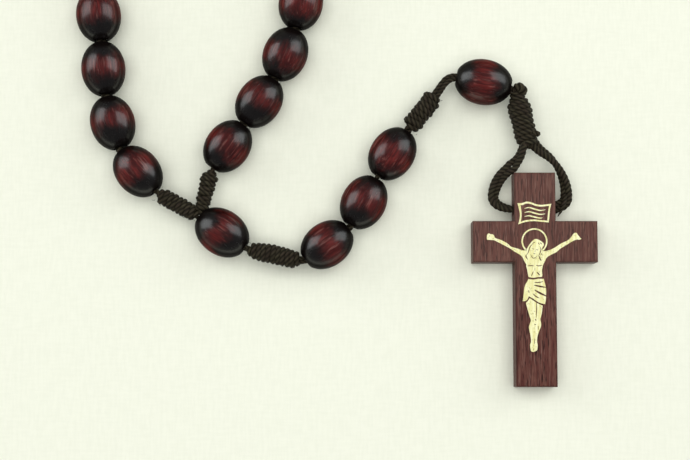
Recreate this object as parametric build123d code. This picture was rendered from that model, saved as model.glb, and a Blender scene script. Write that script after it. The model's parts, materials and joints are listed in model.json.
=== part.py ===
"""A five-decade rosary of oval wooden beads, knotted from twisted cord, lying flat on a table.

Millimetres, +Z up, the table at Z = 0. The loop runs away along +Y from the junction, where its two
strands meet the centre bead, and the pendant with its cross lies to the right of the junction.
"""
from build123d import *
import math
import os

os.makedirs("parts", exist_ok=True)

# Beads
bead_length = 10.0            # the full oval, before its bore cuts the tips off
bead_diameter = 8.0
bead_bore = 2.2
mouth_round = 0.3
bead_gap = 0.5                # between two beads, where the cord lies straight
bead_share = 10.1             # cord taken up by one bead and half a gap on each side
bent_bead_share = 10.45       # the same for the two beads where the left strand turns hardest
bead_height = bead_diameter / 2

# Cord
strand_diameter = 1.0
doubled_diameter = 1.3        # two strands, as one round cord of the same section
cross_loop_diameter = 1.9     # two strands twisted around each other
junction_trim = 0.95          # bare end of a loop strand short of the junction
pivot_trim = 0.3              # bare end of a loop strand short of a decade's pivot
stretch_trim = 0.4            # bare end of the free stretch short of its pivots
link_end_inset = 0.8          # from a pendant pivot to the centre of the cord's round end

# Barrel knots
knot_diameter = 3.4
knot_bore = 1.7
core_bore = 1.1               # the wraps grip the doubled cord by this much less than its size
knot_end_gap = 1.1            # from a pivot to the knot's first wrap
junction_gap = 1.75           # the same beside the junction, where two knots meet at an angle
knot_share = 11.3             # cord taken up by one knot
junction_knot_share = 9.1     # the same for the knot beside the junction
wraps_per_knot = 11
wrap_depth = 0.2
end_wrap_step = 0.38          # how much smaller the first and last wraps are
end_lip = 0.15                # the wall left around the bore at a knot's ends

# Cross
cross_length = 39.0
cross_span = 22.7
cross_width = 7.5
cross_thickness = 5.0
cross_top = 8.0               # the stem's top, from the junction along +Y
cross_center_x = 61.2
arms_below_top = 8.9
cross_hole_diameter = 2.5
cross_hole_y = 1.3
cross_hole_z = cross_thickness / 2
cross_edge_round = 0.35

# Foil on the cross's front
foil_thickness = 0.1
halo_radius = 2.3
halo_line = 0.3
halo_x = -0.1
halo_y = -4.6
halo_opening = 2.6            # the width of the gap where hair and shoulders cover the halo
scroll_half_width = 3.0
scroll_top = 2.6
scroll_bottom = -0.9
scroll_line = 0.32
outer_lift = 0.25             # how far the banner's corners are pulled out
inner_lift = 0.2

# Each arc of a cord's tube takes this share of its shorter run
arc_share = 0.45

# The junction's own place, which puts the origin at the middle of the whole rosary
junction_x = -2.2
junction_y = -126.6

# Pendant pivots, from the junction outwards
junction = (0, 0)
center_bead_end = (8.3, -5.85)
knot_a_end = (19.1, -8.2)
bead_1_end = (27.5, -2.1)
bead_2_end = (32.5, 7.3)
bead_3_end = (38.0, 15.8)
knot_b_end = (43.6, 22.9)
stretch_end = (47.1, 25.85)
cross_bead_end = (57.1, 23.9)
cross_knot_end = (60.1, 13.0)

# Pivots between the loop's four stretches
decade_1_end = (-52.0, 92.0)
decade_5_end = (53.0, 93.0)
side_rise = 131.0
decade_2_end = (decade_1_end[0], decade_1_end[1] + side_rise)
decade_4_end = (decade_5_end[0], decade_5_end[1] + side_rise)

# Cord routes, from the junction
left_strand_route = [
    junction, (-8.3, 4.0), (-15.3, 12.2), (-17.7, 22.4), (-18.4, 32.6), (-19.4, 42.6), (-22.4, 53.0),
    (-28.0, 66.0), (-36.0, 77.5), (-44.5, 86.0), decade_1_end,
]
right_strand_route = [
    junction, (1.6, 8.8), (8.0, 17.0), (13.8, 25.2), (17.6, 34.2), (19.2, 44.2),
    (22.4, 59.0), (30.8, 72.8), (42.4, 83.6), decade_5_end,
]
left_side_route = [
    decade_1_end, (-58.5, 111.0), (-63.0, 133.0), (-64.5, 156.0), (-63.5, 179.5),
    (-58.5, 203.0), decade_2_end,
]
right_side_route = [
    decade_5_end, (59.5, 112.0), (64.0, 134.0), (65.5, 157.0), (64.5, 180.5),
    (59.5, 204.0), decade_4_end,
]
top_route = [
    decade_2_end, (-44.5, 243.0), (-36.0, 261.5), (-20.5, 277.0), (1.0, 282.0),
    (22.0, 276.5), (37.0, 261.0), (45.5, 243.5), decade_4_end,
]
stretch_route = [
    (43.6, 22.9, 4.0), (44.6, 24.5, 4.0), (45.7, 25.6, 4.0), (47.1, 25.85, 4.0),
]
cross_loop_route = [
    (59.4, 13.4, 4.4), (58.4, 10.2, 4.1), (54.2, 6.8, 3.4), (53.4, 1.3, 2.5),
    (67.0, 1.3, 2.5), (67.4, 5.6, 3.0), (65.2, 10.4, 3.3), (61.2, 13.1, 3.1),
]


def heading(start, end):
    """The angle of the line between two points, in degrees from +X."""
    return math.degrees(math.atan2(end[1] - start[1], end[0] - start[0]))


def span(start, end):
    """The distance between two points of the plan."""
    return math.hypot(end[0] - start[0], end[1] - start[1])


def between(shape, start, end):
    """Put a shape made along X, centred on the origin, midway between two points of the plan."""
    middle = ((start[0] + end[0]) / 2, (start[1] + end[1]) / 2, bead_height)
    return Location(middle, (0, 0, heading(start, end))) * shape


def oval_bead():
    """One drilled oval bead along X, its bore's mouths rounded over."""
    bore_radius = bead_bore / 2
    above_bore = Pos(0, bore_radius + bead_diameter / 2) * Rectangle(2 * bead_length, bead_diameter)
    section = Ellipse(bead_length / 2, bead_diameter / 2) & above_bore
    section = fillet(section.vertices(), mouth_round)
    return revolve(section, Axis.X)


def wrapped_barrel(length, bore):
    """The wraps of a barrel knot along X, smaller at both ends, around a bore."""
    pitch = length / wraps_per_knot
    inner = bore / 2
    lip = inner + end_lip
    valley = knot_diameter / 2 - wrap_depth
    last_wrap = wraps_per_knot - 1
    edges = []
    for i in range(wraps_per_knot):
        left = -length / 2 + i * pitch
        crest = knot_diameter / 2
        if i in (0, last_wrap):
            crest -= end_wrap_step
        start = (left, lip if i == 0 else valley)
        end = (left + pitch, lip if i == last_wrap else valley)
        edges.append(ThreePointArc(start, (left + pitch / 2, crest), end))
    half = length / 2
    edges.append(Polyline((half, lip), (half, inner), (-half, inner), (-half, lip)))
    return revolve(make_face(edges), Axis.X)


def round_cord(start_inset, length, diameter):
    """A straight cord along X with round ends, whose end centres are inset from a given length."""
    radius = diameter / 2
    half = length / 2 - start_inset
    core = Rot(0, 90, 0) * Cylinder(radius, 2 * half)
    return core + Pos(-half, 0, 0) * Sphere(radius) + Pos(half, 0, 0) * Sphere(radius)


def pendant_link(start, end):
    """The doubled cord inside a pendant bead, between the pivots at the bead's two ends."""
    return between(round_cord(link_end_inset, span(start, end), doubled_diameter), start, end)


def pendant_knot(start, end):
    """A barrel knot with its own doubled cord sticking out as far as both pivots."""
    length = span(start, end)
    barrel = wrapped_barrel(length - 2 * knot_end_gap, core_bore)
    return between(barrel + round_cord(link_end_inset, length, doubled_diameter), start, end)


def strand_knot(start, end):
    """A barrel knot on one strand of the loop, open along its middle for that strand."""
    return between(wrapped_barrel(span(start, end) - 2 * knot_end_gap, knot_bore), start, end)


def junction_knot(start, end):
    """A strand's knot beside the junction, kept clear of the other strand's knot."""
    share = (junction_gap - knot_end_gap) / span(start, end)
    moved_start = (start[0] + share * (end[0] - start[0]), start[1] + share * (end[1] - start[1]))
    return strand_knot(moved_start, end)


def bend_radii(points):
    """The arc at each corner of a route: as large as the two runs beside it allow."""
    radii = []
    for before, corner, after in zip(points, points[1:], points[2:]):
        run_in = Vector(corner) - Vector(before)
        run_out = Vector(after) - Vector(corner)
        half_turn = math.radians(run_in.get_angle(run_out)) / 2
        shorter = min(run_in.length, run_out.length)
        radii.append(arc_share * shorter / math.tan(half_turn))
    return radii


def smooth_path(points):
    """Straight runs joined by tangent arcs."""
    return FilletPolyline(*points, radius=bend_radii(points))


def trimmed(points, start_trim, end_trim):
    """The same route with its two ends cut back."""
    first = Vector(points[0])
    last = Vector(points[-1])
    first = first + (Vector(points[1]) - first).normalized() * start_trim
    last = last + (Vector(points[-2]) - last).normalized() * end_trim
    return [first] + [Vector(p) for p in points[1:-1]] + [last]


def cord_tube(name, points, diameter, start_trim=0.0, end_trim=0.0):
    """A cord's tube along its route, with its radii and volume printed."""
    route = trimmed(points, start_trim, end_trim)
    path = smooth_path(route)
    radii = [round(r, 1) for r in bend_radii(route)]
    section = Plane(origin=path @ 0, z_dir=path % 0) * Circle(diameter / 2)
    tube = sweep(section, path=path)
    expected = math.pi * diameter ** 2 / 4 * path.length
    print(name, "length", round(path.length, 1), "radii", radii,
          "volume ratio", round(tube.volume / expected, 4))
    return tube


def at_bead_height(route):
    """A plan route raised to the height of the bores."""
    return [(x, y, bead_height) for x, y in route]


def pivots_along(name, route, shares):
    """Share a route's length out between the pieces strung on it, and return their end points."""
    path = smooth_path(at_bead_height(route))
    slack = path.length / sum(shares)
    print(name, "route", round(path.length, 2), "for", round(sum(shares), 2),
          "bead gap", round(bead_share * (slack - 1) + bead_gap, 2))
    ends = [path @ 0]
    used = 0.0
    for share in shares:
        used += share
        ends.append(path @ (used / sum(shares)))
    return [(p.X, p.Y) for p in ends]


def pieces(kind, ends, numbers):
    """Make one kind of piece at each numbered place along a list of end points."""
    return [kind(ends[i], ends[i + 1]) for i in numbers]


def cross_body():
    """The wooden cross, cut from one board, drilled sideways for the cord."""
    stem_y = cross_top - cross_length / 2
    arms_y = cross_top - arms_below_top - cross_width / 2
    stem = Pos(cross_center_x, stem_y) * Rectangle(cross_width, cross_length)
    arms = Pos(cross_center_x, arms_y) * Rectangle(cross_span, cross_width)
    board = extrude(stem + arms, cross_thickness)
    board = fillet(board.edges().filter_by(Axis.Z, reverse=True), cross_edge_round)
    hole = Cylinder(cross_hole_diameter / 2, 2 * cross_width)
    return board - Pos(cross_center_x, cross_hole_y, cross_hole_z) * Rot(0, 90, 0) * hole


def on_front(sketch):
    """A sheet of foil on the cross's front, from an outline about the cross's centre line."""
    return extrude(Pos(cross_center_x, 0, cross_thickness) * sketch, foil_thickness)


def scroll_outline(half_width, top, bottom, lift):
    """A waving banner with pulled-out corners."""
    left_top = (-half_width, top + lift)
    right_top = (half_width, top)
    right_bottom = (half_width - lift, bottom)
    left_bottom = (-half_width, bottom - lift)
    edges = [
        Spline(left_top, (-half_width / 3, top + lift), (half_width / 3, top - lift), right_top),
        Line(right_top, right_bottom),
        Spline(right_bottom, (half_width / 3, bottom - lift / 2), (-half_width / 3, bottom), left_bottom),
        Line(left_bottom, left_top),
    ]
    return make_face(edges)


def foil_scroll():
    """The banner above the figure: a plain frame with nothing written in it."""
    outer = scroll_outline(scroll_half_width, scroll_top, scroll_bottom, outer_lift)
    inner = scroll_outline(
        scroll_half_width - scroll_line, scroll_top - scroll_line, scroll_bottom + scroll_line, inner_lift)
    return on_front(outer - inner)


def foil_halo():
    """The thin ring of light behind the head, open where the hair and shoulders cover it."""
    ring = Circle(halo_radius) - Circle(halo_radius - halo_line)
    hidden = Pos(0, -halo_radius) * Rectangle(halo_opening, halo_radius)
    return on_front(Pos(halo_x, halo_y) * (ring - hidden))


def foil_figure():
    """The figure's outline: bowed head, arms raised to both sides, cloth, legs together."""
    head = Pos(0.0, -5.6) * Ellipse(1.25, 1.75)
    left_arm = Polyline((-8.9, -3.2), (-7.6, -3.6), (-4.2, -5.6), (-1.9, -6.4),
                        (-1.5, -8.4), (-4.8, -6.7), (-7.8, -4.6), (-8.9, -4.3), close=True)
    right_arm = Polyline((8.3, -3.2), (7.0, -3.9), (4.0, -5.7), (1.6, -6.4),
                         (1.4, -8.4), (4.6, -6.9), (7.2, -4.8), (8.4, -4.2), close=True)
    torso = Polyline((-2.0, -6.4), (1.8, -6.4), (1.9, -8.0), (1.4, -9.6), (1.3, -11.8),
                     (-1.4, -11.8), (-1.6, -9.8), (-2.1, -8.0), close=True)
    cloth = Polyline((-1.4, -11.7), (1.6, -11.7), (2.0, -13.4), (1.9, -16.4), (0.2, -15.9),
                     (-1.2, -15.4), (-2.4, -16.0), (-2.2, -13.6), close=True)
    legs = Polyline((-1.9, -15.2), (1.6, -15.8), (1.2, -18.6), (1.3, -19.8), (0.6, -22.0),
                    (0.6, -24.2), (-0.8, -24.2), (-0.9, -22.0), (-1.2, -19.8), (-0.8, -18.6), close=True)
    outline = head
    for edge in (left_arm, right_arm, torso, cloth, legs):
        outline = outline + make_face(edge)
    return on_front(outline)


def strand_layout():
    """Where every piece of the loop ends, stretch by stretch."""
    strand = [junction_knot_share] + [bead_share] * 10
    bent_strand = [junction_knot_share] + [bent_bead_share] * 2 + [bead_share] * 8
    side = [knot_share, bead_share, knot_share] + [bead_share] * 10
    crown = [knot_share, bead_share, knot_share] + [bead_share] * 10 + [knot_share, bead_share, knot_share]
    return {
        "left_strand": pivots_along("left_strand", left_strand_route, bent_strand),
        "right_strand": pivots_along("right_strand", right_strand_route, strand),
        "left_side": pivots_along("left_side", left_side_route, side),
        "right_side": pivots_along("right_side", right_side_route, side),
        "top": pivots_along("top", top_route, crown),
    }


layout = strand_layout()


def bead_at(start, end):
    """An oval bead between the pivots at its two ends."""
    return between(oval_bead(), start, end)


def loop_nodes():
    """Everything strung on the loop, node by node."""
    left = layout["left_strand"]
    right = layout["right_strand"]
    left_side = layout["left_side"]
    right_side = layout["right_side"]
    top = layout["top"]
    nodes = {
        "junction_knot_left": junction_knot(left[0], left[1]),
        "junction_knot_right": junction_knot(right[0], right[1]),
    }
    for i in range(1, 11):
        nodes[f"decade_1_bead_{i:02d}"] = bead_at(left[i], left[i + 1])
        nodes[f"decade_5_bead_{i:02d}"] = bead_at(right[i], right[i + 1])
    nodes["interval_bead_1"] = bead_at(left_side[1], left_side[2])
    nodes["interval_bead_2"] = bead_at(top[1], top[2])
    nodes["interval_bead_3"] = bead_at(top[14], top[15])
    nodes["interval_bead_4"] = bead_at(right_side[1], right_side[2])
    nodes["interval_knots_left"] = Compound(pieces(strand_knot, left_side, (0, 2)))
    nodes["interval_knots_right"] = Compound(pieces(strand_knot, right_side, (0, 2)))
    nodes["interval_knots_top"] = Compound(pieces(strand_knot, top, (0, 2, 13, 15)))
    nodes["decade_2_beads_a"] = Compound(pieces(bead_at, left_side, range(3, 8)))
    nodes["decade_2_beads_b"] = Compound(pieces(bead_at, left_side, range(8, 13)))
    nodes["decade_3_beads_a"] = Compound(pieces(bead_at, top, range(3, 8)))
    nodes["decade_3_beads_b"] = Compound(pieces(bead_at, top, range(8, 13)))
    nodes["decade_4_beads_a"] = Compound(pieces(bead_at, right_side, range(3, 8)))
    nodes["decade_4_beads_b"] = Compound(pieces(bead_at, right_side, range(8, 13)))
    return nodes


def loop_cords():
    """The strand through each stretch of the loop."""
    cords = {}
    cords["cord_left_strand"] = cord_tube(
        "cord_left_strand", at_bead_height(left_strand_route), strand_diameter, junction_trim, pivot_trim)
    cords["cord_right_strand"] = cord_tube(
        "cord_right_strand", at_bead_height(right_strand_route), strand_diameter, junction_trim, pivot_trim)
    stretches = {"left_side": left_side_route, "right_side": right_side_route, "top": top_route}
    for name, route in stretches.items():
        cords["cord_" + name] = cord_tube(
            "cord_" + name, at_bead_height(route), strand_diameter, pivot_trim, pivot_trim)
    return cords


def pendant_nodes():
    """Everything from the centre bead to the cross."""
    nodes = {
        "center_bead": bead_at(junction, center_bead_end),
        "cord_in_center_bead": pendant_link(junction, center_bead_end),
        "knot_a": pendant_knot(center_bead_end, knot_a_end),
        "knot_b": pendant_knot(bead_3_end, knot_b_end),
        "cross_bead": bead_at(stretch_end, cross_bead_end),
        "cord_in_cross_bead": pendant_link(stretch_end, cross_bead_end),
        "cross_knot": pendant_knot(cross_bead_end, cross_knot_end),
    }
    ends = [knot_a_end, bead_1_end, bead_2_end, bead_3_end]
    for i in range(3):
        nodes[f"pendant_bead_{i + 1}"] = bead_at(ends[i], ends[i + 1])
        nodes[f"cord_in_pendant_bead_{i + 1}"] = pendant_link(ends[i], ends[i + 1])
    nodes["cord_stretch"] = cord_tube(
        "cord_stretch", stretch_route, doubled_diameter, stretch_trim, stretch_trim)
    nodes["cross_loop"] = cord_tube("cross_loop", cross_loop_route, cross_loop_diameter)
    nodes["cross"] = cross_body()
    nodes["foil_scroll"] = foil_scroll()
    nodes["foil_halo"] = foil_halo()
    nodes["foil_figure"] = foil_figure()
    return nodes


def main():
    """Write every node in the rosary's own frame."""
    place = Pos(junction_x, junction_y, 0)
    nodes = {**loop_nodes(), **loop_cords(), **pendant_nodes()}
    for name, shape in nodes.items():
        export_step(place * shape, f"parts/{name}.step")
    print(len(nodes), "nodes")


main()
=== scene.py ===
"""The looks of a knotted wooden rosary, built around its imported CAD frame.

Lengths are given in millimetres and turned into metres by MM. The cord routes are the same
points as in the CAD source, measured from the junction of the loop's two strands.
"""
import bmesh
import bpy
import json
import math
import numpy as np
import random
from mathutils import Matrix, Vector


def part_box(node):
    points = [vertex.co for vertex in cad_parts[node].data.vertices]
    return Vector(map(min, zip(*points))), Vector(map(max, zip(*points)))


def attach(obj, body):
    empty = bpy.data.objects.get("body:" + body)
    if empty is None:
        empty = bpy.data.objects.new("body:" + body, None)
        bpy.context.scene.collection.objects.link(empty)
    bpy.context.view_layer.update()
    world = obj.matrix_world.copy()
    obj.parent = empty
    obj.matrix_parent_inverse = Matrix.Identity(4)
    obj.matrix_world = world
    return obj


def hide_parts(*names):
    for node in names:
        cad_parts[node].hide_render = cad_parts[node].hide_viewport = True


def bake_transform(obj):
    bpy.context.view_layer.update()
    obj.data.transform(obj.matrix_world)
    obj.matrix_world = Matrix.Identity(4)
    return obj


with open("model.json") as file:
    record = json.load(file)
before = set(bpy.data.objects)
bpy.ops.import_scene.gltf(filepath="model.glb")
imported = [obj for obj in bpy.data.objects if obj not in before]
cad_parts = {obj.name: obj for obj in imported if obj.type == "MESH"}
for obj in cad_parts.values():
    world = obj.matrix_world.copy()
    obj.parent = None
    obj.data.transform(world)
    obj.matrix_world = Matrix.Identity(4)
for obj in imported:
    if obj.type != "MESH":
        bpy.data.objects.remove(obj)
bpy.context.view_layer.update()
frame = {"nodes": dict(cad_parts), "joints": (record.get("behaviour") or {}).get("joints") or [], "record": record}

MM = 0.001
JUNCTION = (-2.2, -126.6)
BEAD_HEIGHT = 4.0

# Camera and lights
CAMERA_AT = (24.38, -154.49, 278.0)
CAMERA_AIM = (24.38, -128.71, 0.0)
CAMERA_LENS = 78.66
LIGHT_AIM = (24.4, -118.0, 0.0)
SOFTBOXES = {"softbox_left": (158, 24, 1.55), "softbox_right": (25, 32, 1.35)}  # azimuth, elevation, watts
SOFTBOX_DISTANCE = 640
SOFTBOX_SIZE = (640, 430)
SOFTBOX_COLOR = (0.97, 1.0, 1.0)
FILL_HEIGHT = 1100
FILL_SIZE = 1300
FILL_WATTS = 12.9
FLOOR_HALF = 2500

# Beads
BEAD_HALF_LENGTH = 5.19
BEAD_RADIUS = 4.1
BIG_BEADS = {"cross_bead": (5.4, 4.2), "center_bead": (5.32, 4.16)}  # half length and radius
LENGTH_SPREAD = (0.99, 1.0)  # the other beads differ from each other by these factors
RADIUS_SPREAD = (0.985, 1.005)
BEAD_ROUNDNESS = 2.03  # 2 is an ellipse, more is a fuller barrel
BORE_RADIUS = 1.1
MOUTH_DEPTH = 1.8  # how far into its bore a bead is modelled
MOUTH_ROUND = 0.12  # how far the rounded edge of the bore's mouth goes in
MOUTH_FLARE = 0.16  # how much wider than the bore the mouth is

# Cord
STRAND = 1.0  # a loop strand
PENDANT_STRAND = 0.8  # each of the pendant's two strands
PENDANT_GAP = PENDANT_STRAND * 0.92  # between the middles of those two strands
LOOP_STRAND = 1.28  # each of the two strands through the cross
YARNS = 3
YARN_LAY = 2.5  # one full turn of the yarns
YARN_DEPTH = 0.2
GAP_BULGE = 0.8  # how much thicker the strand is where two beads press it between them
GAP_BULGE_REACH = 1.0
STRAND_TRIM = 0.3  # how far a strand stops short of each end of its route
BRIDGE = 1.3  # how far a piece of cord over a hinge reaches to each side

# Cord routes, from the junction, as in the CAD source
LEFT_STRAND_ROUTE = [
    (0, 0), (-8.3, 4), (-15.3, 12.2), (-17.7, 22.4), (-18.4, 32.6), (-19.4, 42.6), (-22.4, 53),
    (-28, 66), (-36, 77.5), (-44.5, 86), (-52, 92),
]
RIGHT_STRAND_ROUTE = [
    (0, 0), (1.6, 8.8), (8, 17), (13.8, 25.2), (17.6, 34.2), (19.2, 44.2),
    (22.4, 59), (30.8, 72.8), (42.4, 83.6), (53, 93),
]
LEFT_SIDE_ROUTE = [
    (-52, 92), (-58.5, 111), (-63, 133), (-64.5, 156), (-63.5, 179.5),
    (-58.5, 203), (-52, 223),
]
RIGHT_SIDE_ROUTE = [
    (53, 93), (59.5, 112), (64, 134), (65.5, 157), (64.5, 180.5),
    (59.5, 204), (53, 224),
]
TOP_ROUTE = [
    (-52, 223), (-44.5, 243), (-36, 261.5), (-20.5, 277), (1, 282),
    (22, 276.5), (37, 261), (45.5, 243.5), (53, 224),
]
STRETCH_ROUTE = [
    (43.6, 22.9, 4.0), (44.6, 24.5, 4.0), (45.7, 25.6, 4.0), (47.1, 25.85, 4.0),
]
CROSS_LOOP_ROUTE = [
    (59.4, 13.4, 4.4), (58.4, 10.2, 4.1), (54.2, 6.8, 3.4), (53.4, 1.3, 2.5),
    (67.0, 1.3, 2.5), (67.4, 5.6, 3.0), (65.2, 10.4, 3.3), (61.2, 13.1, 3.1),
]
CROSS_KNOT_END = (60.1, 13.0, 4.0)
LOOP_ROOTS = [(59.9, 15.0, 4.3), (60.4, 15.2, 3.6)]  # where the loop's two legs start inside the knot
LOOP_OPENING = 0.22  # how far along the loop its two strands stand apart
FRAYED_TAIL = [(67.0, 4.2, 3.3), (66.7, 2.4, 3.6), (66.2, 1.0, 3.4), (65.5, 0.0, 3.2)]

# Knots
WRAP_CORD = 1.04
WRAP_PITCH = 0.92
KNOT_GAP = 1.1  # from a pivot of the pendant to the end of the knot's CAD solid
KNOT_REACH = 0.95  # how much further than its CAD solid a knot's wraps reach at each end
JUNCTION_REACH = (1.85, 1.1)  # the same for the junction's knots, near the junction and away from it
CROSS_KNOT_SHIFT = (0.8, -0.3, 0.0)  # from the last knot's pivot to the start of its wraps
CROSS_KNOT_OVERHANG = 0.9  # how much further the last knot's wraps go over the loop's legs
CROSS_KNOT_STUB = [(59.6, 15.6, 4.8), (60.8, 15.3, 5.4), (62.3, 14.9, 5.3)]
CROSS_KNOT_LUMP = [(57.6, 23.7, 4.1), (58.6, 23.9, 4.5), (59.3, 23.2, 4.5), (59.2, 22.3, 4.2)]
FUZZ_HAIRS = 16
FUZZ_DIAMETER = 0.075
# The outer radius of each knot at even steps along it
PLAIN_KNOT = (1.15, 1.6, 1.7, 1.66, 1.68, 1.6, 1.15)
KNOT_SHAPES = {
    "knot_a": (1.15, 1.62, 1.78, 1.8, 1.78, 1.75, 1.7, 1.25),
    "knot_b": (1.35, 1.95, 1.75, 1.8, 1.9, 1.82, 1.95, 1.3),
    "cross_knot": (1.2, 1.6, 2.2, 2.3, 2.12, 2.1, 2.12, 2.0, 1.35),
    "junction_knot_left": (1.15, 1.52, 1.62, 1.6, 1.62, 1.62, 1.2),
    "junction_knot_right": (1.1, 1.36, 1.42, 1.45, 1.58, 1.68, 1.2),
}

# The pendant's stiff stretches: the joint where each begins, its body, and the CAD cord in it if it is a bead
PENDANT = [
    ("pendant_swing", "center_bead_cord", "cord_in_center_bead"),
    ("knot_a_bend", "knot_a", None),
    ("bead_1_bend", "pendant_bead_1_cord", "cord_in_pendant_bead_1"),
    ("bead_2_bend", "pendant_bead_2_cord", "cord_in_pendant_bead_2"),
    ("bead_3_bend", "pendant_bead_3_cord", "cord_in_pendant_bead_3"),
    ("knot_b_bend", "knot_b", None),
    ("cord_stretch_bend", "cord_stretch", None),
    ("cross_bead_lift", "cross_bead_cord", "cord_in_cross_bead"),
    ("cross_knot_bend", "cross_knot", None),
]

# Foil: x is from the cross's middle line, y from the junction. A third value marks a sharp corner. A cut is
# a line and its width.
FOIL_THICKNESS = 0.1
FOIL_SINK = 0.01  # how far it is pressed into the wood
CUT_REACH = 0.5  # how far a cut reaches above and below the cross's front
OUTLINE_STEPS = 6  # from one point of an outline to the next
CROSS_CENTER_X = 61.2
BANNER_OUTER = [
    (-2.36, 2.36), (-1.6, 2.6), (-0.75, 2.5), (0.2, 2.14), (1.2, 2.02), (2.95, 2.22, 1),
    (2.72, 1.3), (2.62, 0.45), (2.46, -1.2, 1), (0.9, -1.06), (-0.36, -0.96), (-1.8, -1.12),
    (-3.12, -1.56, 1), (-2.86, -0.5), (-2.82, 0.6), (-3.22, 2.32, 1),
]
BANNER_INNER = [
    (-2.24, 2.0), (-1.58, 2.26), (-0.78, 2.16), (0.14, 1.82), (1.16, 1.7), (2.52, 1.84, 1),
    (2.42, 1.2), (2.32, 0.45), (2.18, -0.88, 1), (0.88, -0.76), (-0.36, -0.66), (-1.78, -0.8),
    (-2.66, -1.1, 1), (-2.54, -0.4), (-2.5, 0.6), (-2.66, 1.96, 1),
]
BANNER_RULES = [
    ([(-1.95, 1.36), (-1.1, 1.52), (-0.1, 1.24), (0.9, 1.0), (1.85, 1.12)], 0.26),
    ([(-1.95, 0.62), (-1.1, 0.76), (-0.1, 0.5), (0.9, 0.28), (1.8, 0.38)], 0.26),
    ([(-1.95, -0.1), (-1.1, 0.02), (-0.1, -0.22), (0.8, -0.4), (1.3, -0.36)], 0.26),
]
HALO_CENTER = (-0.2, -4.62)
HALO_RADIUS = 2.36
HALO_WIDTH = 0.27
HALO_ARC = (-48, 228)
BODY_OUTLINE = [
    (0.1, -4.21), (0.55, -4.34), (1.0, -4.6), (1.42, -4.98), (1.5, -5.35), (1.28, -5.72),
    (1.18, -6.1), (1.42, -6.43), (2.53, -6.24), (3.52, -5.75), (4.75, -4.98), (5.87, -4.46),
    (6.49, -3.84), (6.84, -3.36), (7.16, -3.1), (7.52, -3.14), (7.66, -3.42), (7.92, -3.74),
    (8.34, -4.22, 1), (7.98, -4.36), (7.46, -4.33), (6.6, -4.7), (5.61, -5.32), (4.49, -5.98),
    (3.75, -6.62), (2.64, -7.17), (1.96, -7.66), (1.7, -8.2), (1.32, -8.92), (1.2, -9.4),
    (1.1, -10.1), (1.16, -10.75), (1.06, -11.12, 1), (0.3, -11.16), (-0.5, -11.28),
    (-1.34, -11.14, 1), (-1.44, -10.7), (-1.58, -9.85), (-1.74, -9.2), (-1.74, -8.86), (-2.09, -8.24),
    (-2.36, -7.6), (-2.84, -7.1), (-3.86, -6.5), (-4.83, -5.84), (-6.05, -5.2), (-7.4, -4.5),
    (-7.95, -4.42), (-8.8, -4.36, 1), (-8.86, -3.95), (-8.8, -3.5), (-8.5, -3.2), (-8.16, -3.34),
    (-7.72, -3.4), (-7.48, -3.7), (-7.3, -4.05), (-6.17, -4.46), (-5.07, -5.07), (-4.46, -5.62),
    (-3.36, -5.94), (-2.5, -6.26), (-1.98, -6.3), (-1.68, -5.96), (-1.27, -5.32), (-0.7, -4.7),
    (-0.3, -4.34),
]
BODY_CUTS = [
    ([(-1.74, -7.05), (-1.76, -7.45), (-1.44, -7.98)], 0.22),
    ([(0.66, -7.3), (0.76, -7.8), (1.02, -8.22)], 0.24),
    ([(1.02, -6.75), (0.96, -7.2)], 0.12),
    ([(-1.5, -9.14), (-0.9, -9.08), (-0.4, -9.02)], 0.17),
    ([(0.02, -8.98), (0.5, -9.12), (1.16, -9.02)], 0.17),
    ([(-0.46, -10.12), (-0.62, -10.5), (-0.86, -11.0)], 0.18),
    ([(0.16, -10.22), (0.42, -10.52), (0.74, -10.84)], 0.24),
    ([(-0.16, -9.5), (-0.18, -10.0)], 0.08),
]
# The head's own cuts: across the face from its middle line, and down from its crown
HEAD_CROWN = (0.3, -4.45)
HEAD_TILT = 13
HEAD_CUTS = [
    ([(-0.62, 0.75), (-1.02, 1.5), (-1.1, 2.4), (-1.28, 3.1)], 0.16),
    ([(-1.02, 0.62), (-1.38, 1.3), (-1.55, 2.1)], 0.14),
    ([(-0.3, 0.42), (-0.66, 0.66)], 0.13),
    ([(0.22, 0.4), (0.62, 0.66)], 0.15),
    ([(0.6, 0.3), (0.98, 0.52)], 0.15),
    ([(0.7, 0.95), (1.02, 1.5), (0.98, 2.2), (0.82, 2.9)], 0.16),
    ([(-0.56, 1.62), (-0.34, 1.72), (-0.14, 1.64)], 0.11),
    ([(0.18, 1.64), (0.38, 1.72), (0.58, 1.62)], 0.11),
    ([(0.02, 1.72), (0.04, 2.1), (0.14, 2.2)], 0.07),
    ([(-0.2, 2.52), (0.02, 2.47), (0.24, 2.52)], 0.1),
    ([(-0.62, 2.75), (-0.3, 3.2), (0.02, 3.34), (0.36, 3.18), (0.6, 2.75)], 0.13),
]
CLOTH_OUTLINE = [
    (-1.38, -11.5, 1), (-1.62, -12.0), (-1.9, -12.45), (-2.14, -13.2), (-2.28, -14.4),
    (-2.46, -15.52, 1), (-2.0, -15.5), (-1.62, -15.24), (-1.44, -14.86), (-1.34, -14.62, 1),
    (-0.72, -14.98), (-0.06, -15.42), (0.62, -15.82), (1.58, -16.06, 1), (1.74, -15.2), (1.8, -14.3),
    (1.8, -13.3), (1.66, -12.5), (1.52, -12.0), (1.4, -11.48, 1), (0.4, -11.46), (-0.5, -11.6),
]
CLOTH_CUTS = [
    ([(-0.3, -12.14), (0.4, -12.14), (1.3, -11.96)], 0.19),
    ([(-0.34, -12.62), (0.5, -12.8), (1.95, -13.06)], 0.3),
    ([(-0.3, -13.46), (0.7, -14.06), (2.0, -14.66)], 0.36),
    ([(-1.34, -13.5), (-1.3, -14.05)], 0.16),
    ([(-0.6, -14.15), (-0.1, -14.62), (0.6, -15.0)], 0.22),
]
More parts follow.
